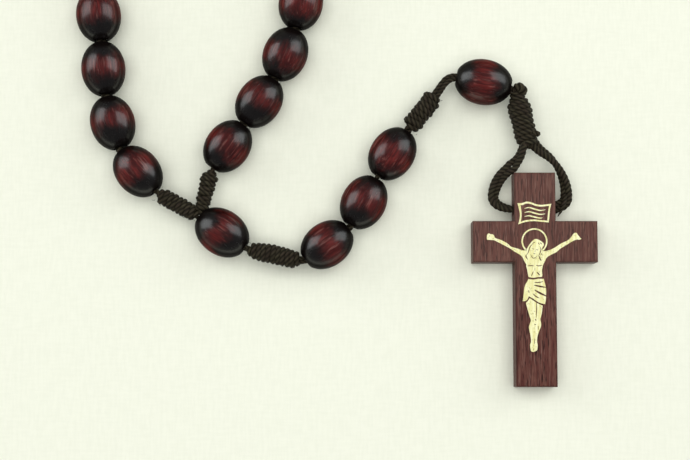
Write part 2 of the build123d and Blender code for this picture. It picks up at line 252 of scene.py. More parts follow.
LEGS_OUTLINE = [
    (-1.56, -15.52), (-1.84, -15.86), (-1.7, -16.52), (-1.36, -17.83), (-1.04, -18.9), (-1.14, -19.45),
    (-1.36, -20.11), (-1.3, -20.8), (-1.14, -21.6), (-1.02, -22.73), (-1.2, -23.4), (-1.16, -24.1),
    (-1.0, -24.55), (-0.64, -24.68), (-0.3, -24.56), (0.04, -24.36), (0.12, -23.9), (0.15, -23.4),
    (0.06, -22.73), (0.16, -21.84), (0.46, -20.9), (0.78, -20.1), (0.82, -19.5), (0.7, -18.8),
    (0.86, -18.2), (1.02, -17.4), (1.14, -16.32, 1), (0.7, -16.14), (0.1, -15.82), (-0.6, -15.36),
    (-1.18, -14.98, 1),
]
LEGS_CUTS = [
    ([(0.04, -15.4), (0.05, -16.6), (0.02, -17.6), (-0.02, -18.5)], 0.16),
    ([(-0.22, -18.74), (-0.05, -19.02)], 0.22),
    ([(-0.4, -19.66), (-0.08, -19.8)], 0.16),
    ([(0.3, -19.95), (0.3, -20.7)], 0.12),
    ([(-0.36, -22.2), (-0.42, -23.3)], 0.11),
    ([(-0.55, -23.95), (-0.6, -24.5)], 0.08),
]

joint_at = {j["name"]: Vector(j["pos_m"]) for j in frame["joints"]}
joint_axis = {j["name"]: Vector(j["axis"]).normalized() for j in frame["joints"]}


# ---- camera, light and floor

def metres(point):
    """A point given in millimetres from the junction, in the row frame, in metres."""
    x, y = point[0] + JUNCTION[0], point[1] + JUNCTION[1]
    z = point[2] if len(point) > 2 else BEAD_HEIGHT
    return Vector((x, y, z)) * MM


def link(obj):
    """Put an object in the scene."""
    bpy.context.scene.collection.objects.link(obj)
    return obj


def make_camera():
    """The photograph's camera, looking almost straight down with +Y up in its picture."""
    data = bpy.data.cameras.new("camera")
    data.lens = CAMERA_LENS
    data.sensor_width = 36.0
    data.clip_start = 0.01
    camera = link(bpy.data.objects.new("camera", data))
    camera.location = Vector(CAMERA_AT) * MM
    camera.rotation_euler = (Vector(CAMERA_AIM) - Vector(CAMERA_AT)).to_track_quat("-Z", "Y").to_euler()
    bpy.context.scene.camera = camera


def softbox(name, azimuth, elevation, watts):
    """A rectangular soft light round the object; azimuth is from +X towards +Y."""
    data = bpy.data.lights.new(name, "AREA")
    data.shape = "RECTANGLE"
    data.size = SOFTBOX_SIZE[0] * MM
    data.size_y = SOFTBOX_SIZE[1] * MM
    data.energy = watts
    data.color = SOFTBOX_COLOR
    lamp = link(bpy.data.objects.new(name, data))
    a, e = math.radians(azimuth), math.radians(elevation)
    away = Vector((math.cos(a) * math.cos(e), math.sin(a) * math.cos(e), math.sin(e)))
    place = Vector(LIGHT_AIM) + away * SOFTBOX_DISTANCE
    lamp.location = place * MM
    lamp.rotation_euler = (-away).to_track_quat("-Z", "Z").to_euler()


def overhead_fill():
    """A wide soft light from above that lifts the shadows and leaves no highlight."""
    data = bpy.data.lights.new("overhead_fill", "AREA")
    data.shape = "SQUARE"
    data.size = FILL_SIZE * MM
    data.energy = FILL_WATTS
    lamp = link(bpy.data.objects.new("overhead_fill", data))
    lamp.location = (LIGHT_AIM[0] * MM, LIGHT_AIM[1] * MM, FILL_HEIGHT * MM)
    lamp.visible_glossy = False


def make_world():
    """A dim, slightly cool surround."""
    world = bpy.data.worlds.new("studio")
    bpy.context.scene.world = world
    world.use_nodes = True
    background = world.node_tree.nodes["Background"]
    background.inputs["Color"].default_value = (0.9, 0.95, 1.0, 1.0)
    background.inputs["Strength"].default_value = 0.1
    bpy.context.scene.view_settings.view_transform = "Standard"


# ---- node helpers

class Surface:
    """A material's node tree, with short calls for the nodes used here."""

    def __init__(self, name):
        self.material = bpy.data.materials.new(name)
        self.material.use_nodes = True
        self.tree = self.material.node_tree
        self.shader = self.tree.nodes["Principled BSDF"]

    def node(self, kind, inputs=(), **settings):
        """Add a node, set its properties, and set or link its inputs by name or number."""
        made = self.tree.nodes.new(kind)
        for key, value in settings.items():
            setattr(made, key, value)
        for key, value in dict(inputs).items():
            self.feed(made.inputs[key], value)
        return made

    def feed(self, socket, value):
        """Link an output to a socket, or set its own value."""
        if isinstance(value, bpy.types.NodeSocket):
            self.tree.links.new(value, socket)
        else:
            socket.default_value = value

    def attribute(self, name, output="Vector"):
        return self.node("ShaderNodeAttribute", attribute_name=name).outputs[output]

    def component(self, vector, number):
        return self.node("ShaderNodeSeparateXYZ", {0: vector}).outputs[number]

    def scaled(self, vector, scale):
        return self.node("ShaderNodeMapping", {"Vector": vector, "Scale": scale}).outputs[0]

    def noise(self, vector, scale, w=0.0, detail=3.0, roughness=0.55):
        """Noise of about 0 to 1; scale is how many times it varies in a unit along each axis."""
        at = self.scaled(vector, scale)
        inputs = {"Vector": at, "W": w, "Scale": 1.0, "Detail": detail, "Roughness": roughness}
        return self.node("ShaderNodeTexNoise", inputs, noise_dimensions="4D").outputs["Fac"]

    def ramp(self, value, low, high, to_low=0.0, to_high=1.0):
        """Map low..high smoothly to to_low..to_high."""
        inputs = {"Value": value, "From Min": low, "From Max": high, "To Min": to_low, "To Max": to_high}
        return self.node("ShaderNodeMapRange", inputs, interpolation_type="SMOOTHSTEP").outputs["Result"]

    def math(self, operation, a, b=0.0):
        return self.node("ShaderNodeMath", {0: a, 1: b}, operation=operation).outputs[0]

    def stray(self, value, noise, amount):
        """A value moved up and down by noise."""
        return self.math("ADD", value, self.math("MULTIPLY", self.math("SUBTRACT", noise, 0.5), amount))

    def mix(self, share, a, b, blend="MIX"):
        """Mix two colours, each an output or three numbers."""
        mixed = self.node("ShaderNodeMix", data_type="RGBA", blend_type=blend)
        colors = [c if isinstance(c, bpy.types.NodeSocket) else (*c, 1.0) for c in (a, b)]
        self.feed(mixed.inputs[0], share)
        self.feed(mixed.inputs[6], colors[0])
        self.feed(mixed.inputs[7], colors[1])
        return mixed.outputs[2]

    def bump(self, height, depth, strength):
        """A bump whose full height is depth millimetres."""
        inputs = {"Height": height, "Distance": depth * MM, "Strength": strength}
        return self.node("ShaderNodeBump", inputs).outputs[0]

    def set(self, **inputs):
        """Set or link the shader's inputs; underscores stand for spaces."""
        for key, value in inputs.items():
            if isinstance(value, tuple) and len(value) == 3:
                value = (*value, 1.0)
            self.feed(self.shader.inputs[key.replace("_", " ")], value)


def object_mm(surface):
    """Object coordinates in millimetres."""
    return surface.scaled(surface.node("ShaderNodeTexCoord").outputs["Object"], (1 / MM, 1 / MM, 1 / MM))


# ---- materials

def bead_material():
    """Lacquered dark cherry wood: near-black ends, a red middle with pale streaks along the axis; the pale streaks
    are partly grain and partly painted sheen.
    """
    s = Surface("bead_lacquer")
    grain = s.attribute("grain")
    seed = s.attribute("seed", "Fac")
    along = s.math("ABSOLUTE", s.component(grain, 0))
    cloud = s.noise(grain, (0.22, 0.3, 0.3), seed, 2.0)
    reach = s.stray(along, cloud, 4.2)
    ragged = s.noise(grain, (0.12, 1.9, 1.9), seed, 3.0)
    reach = s.stray(reach, ragged, 1.5)
    side = s.noise(grain, (0.1, 0.16, 0.16), s.math("ADD", seed, 20.0), 1.0)
    reach = s.math("ADD", reach, s.ramp(side, 0.4, 0.6, 0.9, 0.0))
    middle = s.ramp(reach, 0.5, 3.6, 1.0, 0.0)
    streak = s.ramp(s.noise(grain, (0.16, 1.15, 1.15), seed, 4.0, 0.66), 0.4, 0.68)
    fine = s.ramp(s.noise(grain, (0.3, 6.0, 6.0), seed, 2.0), 0.3, 0.7, 0.65, 1.2)
    red = s.mix(streak, (0.046, 0.0034, 0.0029), (0.128, 0.0112, 0.0092))
    # Painted sheen: pale pink streaks in the red middle, partly the wood's grain and partly the glossy sheen of
    # the grain painted into the colour
    pale = s.noise(grain, (0.16, 2.6, 2.6), s.math("ADD", seed, 40.0), 3.0)
    red = s.mix(s.ramp(pale, 0.54, 0.7, 0.0, 0.6), red, (0.24, 0.085, 0.07))
    wood = s.mix(middle, (0.0048, 0.0032, 0.0028), red)
    fine_grey = s.node("ShaderNodeCombineXYZ", {0: fine, 1: fine, 2: fine}).outputs[0]
    wood = s.mix(1.0, wood, fine_grey, "MULTIPLY")
    uneven = s.noise(grain, (0.5, 0.5, 0.5), seed, 2.0)
    facing = s.node("ShaderNodeLayerWeight", {"Blend": 0.5}).outputs["Facing"]
    s.set(
        Base_Color=wood,
        Roughness=s.ramp(streak, 0.0, 1.0, 0.4, 0.52),
        Normal=s.bump(streak, 0.035, 0.5),
        Coat_Weight=s.ramp(facing, 0.16, 0.46, 1.0, 0.05),
        Coat_Roughness=s.ramp(ragged, 0.3, 0.7, 0.15, 0.29),
        Coat_Normal=s.bump(s.mix(0.5, uneven, ragged), 0.05, 0.6),
        Coat_IOR=1.62,
        Specular_IOR_Level=s.ramp(facing, 0.16, 0.46, 0.22, 0.02),
    )
    return s.material


def cord_material():
    """Dark olive-brown twisted cord, with fibres that follow its yarns and painted shade in the grooves between
    them.
    """
    s = Surface("twisted_cord")
    fibre = s.attribute("fibre")
    seed = s.attribute("seed", "Fac")
    valley = s.attribute("valley", "Fac")
    hair = s.noise(fibre, (0.8, 9.0, 9.0), seed, 3.0, 0.6)
    patch = s.noise(fibre, (0.35, 0.8, 0.8), seed, 2.0)
    light = s.ramp(hair, 0.36, 0.66)
    tone = s.mix(light, (0.017, 0.0135, 0.0072), (0.062, 0.054, 0.033))
    tone = s.mix(s.ramp(patch, 0.4, 0.68, 0.0, 0.5), tone, (0.036, 0.022, 0.0185))
    # Painted shade: the grooves between the yarns are darkened
    tone = s.mix(s.ramp(valley, 0.1, 0.7, 0.0, 0.9), tone, (0.006, 0.0048, 0.0026))
    s.set(
        Base_Color=tone,
        Roughness=s.ramp(hair, 0.3, 0.7, 0.66, 0.85),
        Normal=s.bump(hair, 0.07, 0.8),
        Specular_IOR_Level=0.2,
    )
    return s.material


def cross_material():
    """Stained open-grain wood, the grain running along the stem through the arms too, with painted shade on its
    side faces.
    """
    s = Surface("cross_wood_stain")
    at = object_mm(s)
    tone = s.noise(at, (0.3, 0.035, 0.3), 1.3, 3.0)
    line = s.noise(at, (2.6, 0.13, 2.6), 4.1, 4.0, 0.65)
    pore = s.noise(at, (4.6, 0.42, 4.6), 7.7, 2.0, 0.5)
    glint = s.noise(at, (3.4, 0.22, 3.4), 2.9, 3.0, 0.6)
    wood = s.mix(s.ramp(tone, 0.36, 0.64), (0.064, 0.017, 0.0135), (0.094, 0.029, 0.0225))
    wood = s.mix(s.ramp(line, 0.42, 0.64, 0.0, 0.8), wood, (0.165, 0.076, 0.056))
    wood = s.mix(s.ramp(glint, 0.56, 0.7, 0.0, 0.6), wood, (0.235, 0.135, 0.108))
    wood = s.mix(s.ramp(pore, 0.55, 0.64, 0.0, 0.8), wood, (0.017, 0.0066, 0.0058))
    # Painted shade: faces that do not face up, the cross's sides, are darkened, with a ragged edge
    up = s.component(s.node("ShaderNodeTexCoord").outputs["Normal"], 2)
    ragged_side_shade = s.noise(at, (0.8, 0.8, 0.8), 5.2, 3.0)
    edge = s.stray(s.math("ABSOLUTE", up), ragged_side_shade, 0.25)
    wood = s.mix(s.ramp(edge, 0.62, 0.99, 0.5, 0.0), wood, (0.062, 0.015, 0.011))
    up_the_stem = s.component(at, 1)
    wood = s.mix(s.ramp(up_the_stem, -150.0, -130.0, 0.0, 0.15), wood, (0.24, 0.15, 0.12))
    relief = s.mix(0.6, line, s.ramp(pore, 0.54, 0.68, 1.0, 0.0))
    s.set(
        Base_Color=wood,
        Roughness=s.ramp(line, 0.3, 0.7, 0.5, 0.62),
        Normal=s.bump(relief, 0.09, 0.7),
        Specular_IOR_Level=0.25,
    )
    return s.material


def foil_material():
    """Pale gold stamped foil, faintly hatched by the wood's grain below it."""
    s = Surface("stamped_foil")
    at = object_mm(s)
    grain = s.noise(at, (2.6, 0.4, 2.6), 4.1, 3.0)
    speck = s.noise(at, (3.0, 3.0, 3.0), 0.5, 3.0)
    tint = s.mix(s.ramp(grain, 0.38, 0.62), (0.86, 0.81, 0.37), (1.0, 0.98, 0.6))
    tint = s.mix(s.ramp(speck, 0.56, 0.68, 0.0, 0.6), tint, (0.42, 0.38, 0.13))
    s.set(
        Base_Color=tint,
        Metallic=0.12,
        Roughness=s.ramp(speck, 0.3, 0.7, 0.38, 0.52),
        Normal=s.bump(s.mix(0.5, grain, speck), 0.03, 0.5),
    )
    return s.material


def floor_material():
    """Cream cloth, smooth and out of the way, with a faint weave."""
    s = Surface("table_cloth")
    at = object_mm(s)
    warp = s.noise(at, (1.9, 0.3, 1.0), 0.0, 2.0)
    weft = s.noise(at, (0.3, 1.9, 1.0), 3.0, 2.0)
    weave = s.mix(0.4, warp, weft)
    cloth = s.mix(s.ramp(weave, 0.35, 0.65), (0.848, 0.862, 0.724), (0.884, 0.896, 0.758))
    s.set(
        Base_Color=cloth,
        Roughness=0.9,
        Normal=s.bump(weave, 0.06, 0.4),
        Specular_IOR_Level=0.15,
    )
    return s.material


def make_floor():
    """A wide sheet that the object lies on."""
    mesh = bpy.data.meshes.new("table_cloth")
    half = FLOOR_HALF * MM
    corners = [(-half, -half, 0), (half, -half, 0), (half, half, 0), (-half, half, 0)]
    mesh.from_pydata(corners, [], [(0, 1, 2, 3)])
    floor = link(bpy.data.objects.new("table_cloth", mesh))
    mesh.materials.append(floor_material())


# ---- meshes

def array_of(points):
    """Points as the rows of an array."""
    return np.array([tuple(p) for p in points], float)


class Mesh:
    """Rings of vertices gathered into one mesh, with its own surface coordinates."""

    def __init__(self):
        self.vertices = []
        self.faces = []
        self.extra = {"grain": [], "fibre": [], "seed": [], "valley": []}

    def add(self, vertices, faces, **extra):
        """Add a part; each extra is a list as long as vertices."""
        first = len(self.vertices)
        self.vertices.extend(vertices)
        self.faces.extend([tuple(first + i for i in face) for face in faces])
        for key, values in extra.items():
            self.extra[key].extend(values)

    def build(self, name, material):
        """Make the object, smooth all over."""
        mesh = bpy.data.meshes.new(name)
        mesh.from_pydata([tuple(v) for v in self.vertices], [], self.faces)
        for key, values in self.extra.items():
            if values:
                vector = key in ("grain", "fibre")
                made = mesh.attributes.new(key, "FLOAT_VECTOR" if vector else "FLOAT", "POINT")
                made.data.foreach_set("vector" if vector else "value", np.array(values, np.float32).ravel())
        mesh.polygons.foreach_set("use_smooth", [True] * len(mesh.polygons))
        mesh.materials.append(material)
        mesh.update()
        obj = link(bpy.data.objects.new(name, mesh))
        return obj


def rings_to_faces(rings, sides):
    """Quads between rings of a tube, each ring closed."""
    faces = []
    for i in range(rings - 1):
        for j in range(sides):
            k = (j + 1) % sides
            faces.append((i * sides + j, i * sides + k, (i + 1) * sides + k, (i + 1) * sides + j))
    return faces


def carried_frames(tangents, first):
    """Sideways directions along a line that turn as little as they can."""
    normals = []
    normal = first
    for t in tangents:
        normal = normal - t * np.dot(normal, t)
        normal = normal / np.linalg.norm(normal)
        normals.append(normal)
    return np.array(normals)


def tangents_of(points):
    """The unit directions of a line at its points."""
    steps = np.gradient(points, axis=0)
    return steps / np.linalg.norm(steps, axis=1)[:, None]


def lengths_along(points):
    """How far along a line each of its points is."""
    return np.concatenate([[0.0], np.cumsum(np.linalg.norm(np.diff(points, axis=0), axis=1))])


def add_cord(mesh, points, diameter, sides=30, seed=0.0, normals=None, squash=1.0, phase=0.0, swell=None):
    """Sweep one twisted cord along points, in metres, with round ends and yarns that lay round it.

    squash narrows it across its normals; swell is a factor on its size at each point."""
    points = array_of(points)
    tangents = tangents_of(points)
    if normals is None:
        start = np.array((0.0, 0.0, 1.0)) if abs(tangents[0][2]) < 0.9 else np.array((1.0, 0.0, 0.0))
        normals = carried_frames(tangents, start)
    sideways = np.cross(tangents, normals)
    along = lengths_along(points)
    radius = diameter / 2 * MM
    ends = np.clip(np.minimum(along, along[-1] - along) / radius, 0.0, 1.0)
    size = radius * np.sqrt(np.maximum(1 - (1 - ends) ** 2, 0.0025))
    if swell is not None:
        size = size * swell
    vertices, fibre, valley = [], [], []
    for i, p in enumerate(points):
        turn = phase + 2 * math.pi * along[i] / (YARN_LAY * MM)
        for j in range(sides):
            angle = 2 * math.pi * j / sides
            crest = abs(math.cos(YARNS * (angle - turn) / 2))
            r = size[i] * (1 - YARN_DEPTH * (1 - crest))
            vertices.append(p + r * (math.cos(angle) * normals[i] + squash * math.sin(angle) * sideways[i]))
            around = (math.cos(angle - turn), math.sin(angle - turn))
            fibre.append((along[i] / MM, around[0] * diameter / 2, around[1] * diameter / 2))
            valley.append(1 - crest)
    faces = rings_to_faces(len(points), sides)
    faces.append(tuple(reversed(range(sides))))
    faces.append(tuple(range((len(points) - 1) * sides, len(points) * sides)))
    mesh.add(vertices, faces, fibre=fibre, valley=valley, seed=[seed] * len(vertices))


def add_doubled(mesh, points, strand, gap, turns, phase=0.0, seed=0.0, sides=24):
    """Two cords side by side along a line, twisting round each other; gap may differ along the line."""
    points = array_of(points)
    tangents = tangents_of(points)
    normals = carried_frames(tangents, np.array((0.0, 0.0, 1.0)))
    sideways = np.cross(tangents, normals)
    along = lengths_along(points)
    angle = phase + 2 * math.pi * turns * along / along[-1]
    gaps = np.broadcast_to(gap, len(points))
    offset = np.cos(angle)[:, None] * sideways + np.sin(angle)[:, None] * normals
    for side in (-1, 1):
        line = points + side * offset * (gaps * MM / 2)[:, None]
        add_cord(mesh, line, strand, sides, seed + side, phase=side + phase)


# ---- placing

def stand_in(piece, body, node):
    """Let a piece ride on a body and take the place of a CAD node."""
    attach(piece, body)
    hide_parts(node)


def declare_cord(line):
    """Work out the length of a line; it is not kept."""
    float(lengths_along(array_of(line))[-1])


def solids_of(node):
    """The centre, long direction, lowest and highest reach along it of each solid of a CAD node, from the
    left to the right."""
    found = []
    bm = bmesh.new()
    bm.from_mesh(frame["nodes"][node].data)
    bmesh.ops.remove_doubles(bm, verts=bm.verts, dist=1e-7)
    left = set(bm.faces)
    while left:
        stack = [left.pop()]
        island = []
        while stack:
            face = stack.pop()
            island.append(face)
            for edge in face.edges:
                for other in edge.link_faces:
                    if other in left:
                        left.remove(other)
                        stack.append(other)
        centres = np.array([f.calc_center_median() for f in island])
        areas = np.array([f.calc_area() for f in island])
        middle = (centres * areas[:, None]).sum(0) / areas.sum()
        spread = (centres - middle) * np.sqrt(areas)[:, None]
        direction = np.linalg.eigh(spread.T @ spread)[1][:, -1]
        direction[2] = 0.0
        direction = direction / np.linalg.norm(direction)
        reach = [np.dot(np.array(v.co) - middle, direction) for f in island for v in f.verts]
        found.append((Vector(middle), Vector(direction), min(reach), max(reach)))
    bm.free()
    return sorted(found, key=lambda solid: solid[0].x)


def placed(middle, direction):
    """A matrix that puts local X along a level direction, local Z up."""
    x = Vector((direction.x, direction.y, 0)).normalized()
    y = Vector((-x.y, x.x, 0))
    rotation = Matrix((x, y, Vector((0, 0, 1)))).transposed().to_4x4()
    return Matrix.Translation(middle) @ rotation


def nurbs_line(name, points, resolution):
    """The points of a smooth open NURBS line whose control points are given, in metres."""
    curve = bpy.data.curves.new(name, "CURVE")
    curve.dimensions = "3D"
    spline = curve.splines.new("NURBS")
    spline.points.add(len(points) - 1)
    for place, point in zip(spline.points, points):
        place.co = (*point, 1.0)
    spline.order_u = 3
    spline.use_endpoint_u = True
    spline.resolution_u = resolution
    carrier = link(bpy.data.objects.new(name, curve))
    mesh = bpy.data.meshes.new_from_object(carrier)
    line = [v.co.copy() for v in mesh.vertices]
    bpy.data.objects.remove(carrier)
    bpy.data.meshes.remove(mesh)
    bpy.data.curves.remove(curve)
    return line


def clipped(line, trim):
    """The points of a line that lie at least this many millimetres from both of its ends."""
    along = lengths_along(array_of(line))
    low, high = trim * MM, along[-1] - trim * MM
    return [p for p, a in zip(line, along) if low <= a <= high]


# ---- beads

def bead_profile(half_length, radius):
    """(x, r) from deep in one mouth of the bore, over the bead, to deep in the other."""
    steps = 18
    side = []
    for i in range(steps + 1):
        a = math.pi / 2 * (1 - i / steps)
        x = -half_length * math.sin(a) ** (2 / BEAD_ROUNDNESS)
        r = radius * math.cos(a) ** (2 / BEAD_ROUNDNESS)
        if r > BORE_RADIUS + MOUTH_FLARE:
            side.append((x, r))
    edge = side[0][0] - 0.05
    mouth = [
        (edge + MOUTH_DEPTH, BORE_RADIUS * 0.92), (edge + 0.55, BORE_RADIUS * 0.97),
        (edge + MOUTH_ROUND, BORE_RADIUS), (edge + 0.03, BORE_RADIUS + MOUTH_FLARE / 2),
    ]
    half = mouth + side
    return half + [(-x, r) for x, r in reversed(half[:-1])]


def make_bead(name, node, body, middle, direction, number, material):
    """One turned bead with its own grain, riding on a body and standing for a CAD node."""
    chance = random.Random(number * 7 + 3)
    half_length = BEAD_HALF_LENGTH * chance.uniform(*LENGTH_SPREAD)
    radius = BEAD_RADIUS * chance.uniform(*RADIUS_SPREAD)
    half_length, radius = BIG_BEADS.get(node, (half_length, radius))
    profile = bead_profile(half_length, radius)
    roll = chance.uniform(0, 2 * math.pi)
    shift = chance.uniform(-0.7, 0.7)
    sides = 56
    vertices, grain = [], []
    for x, r in profile:
        for j in range(sides):
            angle = 2 * math.pi * j / sides
            vertices.append((x * MM, r * math.cos(angle) * MM, r * math.sin(angle) * MM))
            grain.append((x + shift, r * math.cos(angle + roll), r * math.sin(angle + roll)))
    mesh = Mesh()
    mesh.add(vertices, rings_to_faces(len(profile), sides), grain=grain, seed=[number * 1.7] * len(vertices))
    bead = mesh.build(name, material)
    bead.matrix_world = placed(middle, direction)
    stand_in(bead, body, node)


def bead_places():
    """Name, node, body, middle and direction of every bead: the single ones from their spin joints, the
    grouped ones from their CAD solids."""
    places = []
    for joint in frame["joints"]:
        if joint.get("continuous"):
            node = joint["child"]
            places.append(("oval_" + node, node, node, joint_at[joint["name"]], joint_axis[joint["name"]]))
    for body in ("loop_left_side", "loop_top", "loop_right_side"):
        for node in frame["record"]["behaviour"]["bodies"][body]:
            if "_beads_" in node:
                for i, (middle, direction, _, _) in enumerate(solids_of(node)):
                    places.append((f"oval_{node}_{i + 1}", node, body, middle, direction))
    return places


def gap_swell(line, places):
    """How much thicker the strand is at each point: it bulges where two beads press it between them."""
    middles = array_of(place[3] for place in places)
    swell = []
    for p in array_of(line):
        nearest, second = np.sort(np.linalg.norm(middles - p, axis=1))[:2] / MM
        pressed = math.exp(-((second - nearest) / GAP_BULGE_REACH) ** 2)
        in_a_gap = second < BEAD_HALF_LENGTH + 0.5
        swell.append(1 + GAP_BULGE * pressed if in_a_gap else 1.0)
    return np.array(swell)


# ---- knots

def knot_radius(shape, share):
    """The knot's outer radius at a share of its length, read from evenly spaced values."""
    at = share * (len(shape) - 1)
    i = min(int(at), len(shape) - 2)
    blend = at - i
    blend = blend * blend * (3 - 2 * blend)
    return shape[i] * (1 - blend) + shape[i + 1] * blend


def add_wraps(mesh, matrix, length, shape, seed):
    """The cord of a barrel knot, wound round local X; shape gives its outer radius along it."""
    chance = random.Random(seed)
    waves = [(chance.uniform(0.6, 2.6), chance.uniform(0, 6.3), chance.uniform(0.03, 0.08)) for _ in range(4)]
    steps = 40
    run = length - WRAP_CORD
    wraps = round(run / WRAP_PITCH)
    total = wraps * steps
    points, normals = [], []
    for i in range(total + 1):
        share = i / total
        turn = 2 * math.pi * i / steps
        wobble = sum(size * math.sin(rate * turn + start) for rate, start, size in waves)
        x = (share - 0.5) * run + 0.5 * wobble
        tuck = min(1.0, share * wraps * 1.6, (1 - share) * wraps * 1.6)
        r = (knot_radius(shape, share) - WRAP_CORD / 2) * (0.45 + 0.55 * tuck) + 0.6 * wobble
        out = Vector((0.0, math.cos(turn), math.sin(turn)))
        points.append(matrix @ (Vector((x, 0, 0)) * MM + out * r * MM))
        normals.append(tuple(matrix.to_3x3() @ out))
    squash = max(1.15 * run / wraps / WRAP_CORD, 0.9)
    add_cord(mesh, points, WRAP_CORD, 32, seed, np.array(normals), squash)


def add_fuzz(mesh, matrix, length, radius, seed):
    """Short loose fibres that stand off a knot's wraps."""
    chance = random.Random(seed + 900)
    for _ in range(FUZZ_HAIRS):
        turn = chance.uniform(0, 2 * math.pi)
        x = chance.uniform(-0.47, 0.47) * length
        lean = chance.uniform(-1.0, 1.0)
        out = chance.uniform(0.12, 0.38)
        points = []
        for i in range(7):
            t = i / 6
            r = radius * 0.93 + out * t * (1.6 - 0.6 * t)
            angle = turn + lean * 0.5 * t
            point = Vector((x + lean * 0.7 * t * t, r * math.cos(angle), r * math.sin(angle)))
            points.append(matrix @ (point * MM))
        add_cord(mesh, points, FUZZ_DIAMETER, 5, seed)


def add_tail(mesh, points, diameter, seed, taper=0.0):
    """A short end of cord through points given from the junction, thinning towards its tip."""
    line = nurbs_line("tail", [metres(p) for p in points], 10)
    swell = 1 - taper * np.linspace(0, 1, len(line)) ** 2
    add_cord(mesh, line, diameter, 24, seed, swell=swell)


def make_knot(name, node, body, middle, direction, length, seed, material):
    """One barrel knot, with wraps of the same cord that it is tied in."""
    mesh = Mesh()
    matrix = placed(middle, direction)
    shape = KNOT_SHAPES.get(node, PLAIN_KNOT)
    add_wraps(mesh, matrix, length, shape, seed)
    add_fuzz(mesh, matrix, length, sum(shape) / len(shape), seed)
    if node == "cross_knot":
        add_tail(mesh, CROSS_KNOT_STUB, 1.15, seed)
        add_tail(mesh, CROSS_KNOT_LUMP, 2.0, seed)
    stand_in(mesh.build(name, material), body, node)


def make_knots(material):
    """The pendant's knots between their pivots, and the loop's where their CAD solids are."""
    seed = 1
    trim = 2 * (KNOT_GAP - KNOT_REACH) * MM
    ends = {
        "knot_a": (joint_at["knot_a_bend"], joint_at["bead_1_bend"]),
        "knot_b": (joint_at["knot_b_bend"], joint_at["cord_stretch_bend"]),
        "cross_knot": (joint_at["cross_knot_bend"], metres(CROSS_KNOT_END)),
    }
    for node, (start, end) in ends.items():
        if node == "cross_knot":
            end = end + (end - start).normalized() * CROSS_KNOT_OVERHANG * MM
            start = start + Vector(CROSS_KNOT_SHIFT) * MM
        length = ((end - start).length - trim) / MM
        make_knot("wraps_" + node, node, node, (start + end) / 2, end - start, length, seed, material)
        seed += 1
    junction_at = metres((0, 0))
    for node in ("junction_knot_left", "junction_knot_right"):
        middle, direction, low, high = solids_of(node)[0]
        if direction.dot(middle - junction_at) < 0:
            direction = -direction
        near, far = JUNCTION_REACH
        length = (high - low) / MM + near + far
        middle = middle + direction * (far - near) / 2 * MM
        make_knot("wraps_" + node, node, "loop_near_junction", middle, direction, length, seed, material)
        seed += 1
    for side in ("left", "right", "top"):
        node = "interval_knots_" + side
        body = "loop_top" if side == "top" else f"loop_{side}_side"
        for i, (middle, direction, low, high) in enumerate(solids_of(node)):
            length = (high - low) / MM + 2 * KNOT_REACH
            make_knot(f"wraps_{side}_{i + 1}", node, body, middle, direction, length, seed, material)
            seed += 1


# ---- cords

def make_strand(name, node, body, route, resolution, places, seed, material):
    """One stretch of the loop's strand."""
    line = clipped(nurbs_line(name, [metres(p) for p in route], resolution), STRAND_TRIM)
    mesh = Mesh()
    add_cord(mesh, line, STRAND, 16, seed, swell=gap_swell(line, places))
    strand = mesh.build(name, material)
    stand_in(strand, body, node)
    declare_cord(line)


def make_strands(places, material):
    """The loop's five stretches of strand, and the short bridges over its hinges."""
    near = "loop_near_junction"
    strands = [
        ("strand_left", "cord_left_strand", near, LEFT_STRAND_ROUTE, 40),
        ("strand_right", "cord_right_strand", near, RIGHT_STRAND_ROUTE, 40),
        ("strand_left_side", "cord_left_side", "loop_left_side", LEFT_SIDE_ROUTE, 70),
        ("strand_right_side", "cord_right_side", "loop_right_side", RIGHT_SIDE_ROUTE, 70),
        ("strand_top", "cord_top", "loop_top", TOP_ROUTE, 70),
    ]
    for seed, (name, node, body, route, resolution) in enumerate(strands, 31):
        make_strand(name, node, body, route, resolution, places, seed, material)
    bridges = {
        "bridge_decade_1_end": (LEFT_STRAND_ROUTE, LEFT_SIDE_ROUTE, near, "loop_left_side"),
        "bridge_decade_2_end": (LEFT_SIDE_ROUTE, TOP_ROUTE, "loop_left_side", "loop_top"),
        "bridge_decade_5_end": (RIGHT_STRAND_ROUTE, RIGHT_SIDE_ROUTE, near, "loop_right_side"),
    }
    for name, (before, after, first, second) in bridges.items():
        pivot = metres(after[0])
        start = pivot + (metres(before[-2]) - pivot).normalized() * BRIDGE * MM
        end = pivot + (metres(after[1]) - pivot).normalized() * BRIDGE * MM
        mesh = Mesh()
        add_cord(mesh, bent_line(start, pivot, end, 16), STRAND, 16, 36)
        bridge = mesh.build(name, material)
        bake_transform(bridge)


def bent_line(start, corner, end, steps):
    """A smooth bend from start to end that leans towards a corner."""
    line = []
    for i in range(steps + 1):
        t = i / steps
        line.append(start * (1 - t) ** 2 + corner * 2 * t * (1 - t) + end * t * t)
    return line


def straight_line(start, end, steps):
    """Evenly spaced points from start to end."""
    return [start.lerp(end, i / steps) for i in range(steps + 1)]


